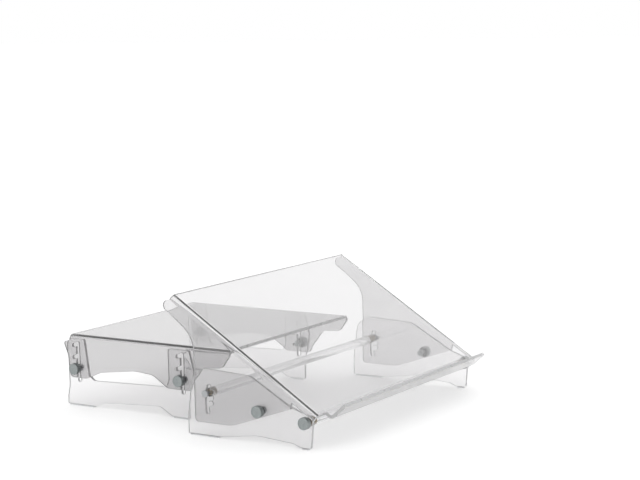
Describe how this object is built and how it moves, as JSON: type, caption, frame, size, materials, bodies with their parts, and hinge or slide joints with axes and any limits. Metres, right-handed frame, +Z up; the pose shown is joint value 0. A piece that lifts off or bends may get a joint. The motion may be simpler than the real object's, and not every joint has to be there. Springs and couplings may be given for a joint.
{
  "type": "document holder with monitor riser",
  "caption": "Sloping clear acrylic document holder with a folded lip, standing in front of a low bent-acrylic monitor riser, both on arched side panels clamped with knurled thumbscrews",
  "frame": {"origin": "on the desk, under the middle of the whole set's bounding box", "axes": "+Y away from the user, from the document lip to the back of the riser; +X to the user's right; +Z up"},
  "size_m": [0.512, 0.5708, 0.2135],
  "materials": {
    "clear_acrylic": "clear polished sheet and rod, colourless, bright cut edges",
    "knurled_metal": "knurled, satin blue-grey",
    "plain_steel": "satin stainless",
    "brass": "plain turned",
    "silicone": "clear matt silicone"
  },
  "bodies": {
    "riser_base": {"riser_leg_left": "clear_acrylic", "riser_leg_right": "clear_acrylic", "riser_foot_strips": "silicone"},
    "riser_top": {"riser_platform": "clear_acrylic", "riser_nuts": "plain_steel"},
    "holder_base": {"holder_panel_left": "clear_acrylic", "holder_panel_right": "clear_acrylic", "front_crossbar": "clear_acrylic", "front_crossbar_inserts": "brass", "tilt_nuts": "plain_steel", "holder_foot_strips": "silicone"},
    "slope": {"document_slope": "clear_acrylic", "rear_crossbar": "clear_acrylic", "rear_crossbar_inserts": "brass", "index_stud_left": "plain_steel", "index_stud_right": "plain_steel"},
    "riser_thumbscrew_front_left": {"riser_thumbscrew_front_left": "knurled_metal"},
    "riser_thumbscrew_front_right": {"riser_thumbscrew_front_right": "knurled_metal"},
    "riser_thumbscrew_back_left": {"riser_thumbscrew_back_left": "knurled_metal"},
    "riser_thumbscrew_back_right": {"riser_thumbscrew_back_right": "knurled_metal"},
    "tilt_thumbscrew_left": {"tilt_thumbscrew_left": "knurled_metal"},
    "tilt_thumbscrew_right": {"tilt_thumbscrew_right": "knurled_metal"},
    "crossbar_thumbscrew_left": {"crossbar_thumbscrew_left": "knurled_metal"},
    "crossbar_thumbscrew_right": {"crossbar_thumbscrew_right": "knurled_metal"}
  },
  "joints": [
    {"name": "riser_lift", "type": "slide", "parent": "riser_base", "child": "riser_top", "axis": [0, 0, 1], "range_m": [0, 0.04]},
    {"name": "holder_pull", "type": "slide", "parent": "riser_base", "child": "holder_base", "axis": [0, 1, 0], "range_m": [-0.15, 0]},
    {"name": "slope_tilt", "type": "hinge", "parent": "holder_base", "child": "slope", "pos_m": [0, -0.15364, 0.051], "axis": [1, 0, 0], "range_deg": [-11, 0]},
    {"name": "riser_thumbscrew_front_left_turn", "type": "hinge", "parent": "riser_top", "child": "riser_thumbscrew_front_left", "pos_m": [-0.177, 0.04736, 0.0635], "axis": [-1, 0, 0], "continuous": true},
    {"name": "riser_thumbscrew_front_right_turn", "type": "hinge", "parent": "riser_top", "child": "riser_thumbscrew_front_right", "pos_m": [0.177, 0.04736, 0.0635], "axis": [1, 0, 0], "continuous": true},
    {"name": "riser_thumbscrew_back_left_turn", "type": "hinge", "parent": "riser_top", "child": "riser_thumbscrew_back_left", "pos_m": [-0.177, 0.25936, 0.0635], "axis": [-1, 0, 0], "continuous": true},
    {"name": "riser_thumbscrew_back_right_turn", "type": "hinge", "parent": "riser_top", "child": "riser_thumbscrew_back_right", "pos_m": [0.177, 0.25936, 0.0635], "axis": [1, 0, 0], "continuous": true},
    {"name": "tilt_thumbscrew_left_turn", "type": "hinge", "parent": "slope", "child": "tilt_thumbscrew_left", "pos_m": [-0.251, -0.15364, 0.051], "axis": [-1, 0, 0], "continuous": true},
    {"name": "tilt_thumbscrew_right_turn", "type": "hinge", "parent": "slope", "child": "tilt_thumbscrew_right", "pos_m": [0.251, -0.15364, 0.051], "axis": [1, 0, 0], "continuous": true},
    {"name": "crossbar_thumbscrew_left_turn", "type": "hinge", "parent": "holder_base", "child": "crossbar_thumbscrew_left", "pos_m": [-0.246, -0.23214, 0.041], "axis": [-1, 0, 0], "continuous": true},
    {"name": "crossbar_thumbscrew_right_turn", "type": "hinge", "parent": "holder_base", "child": "crossbar_thumbscrew_right", "pos_m": [0.246, -0.23214, 0.041], "axis": [1, 0, 0], "continuous": true}
  ]
}
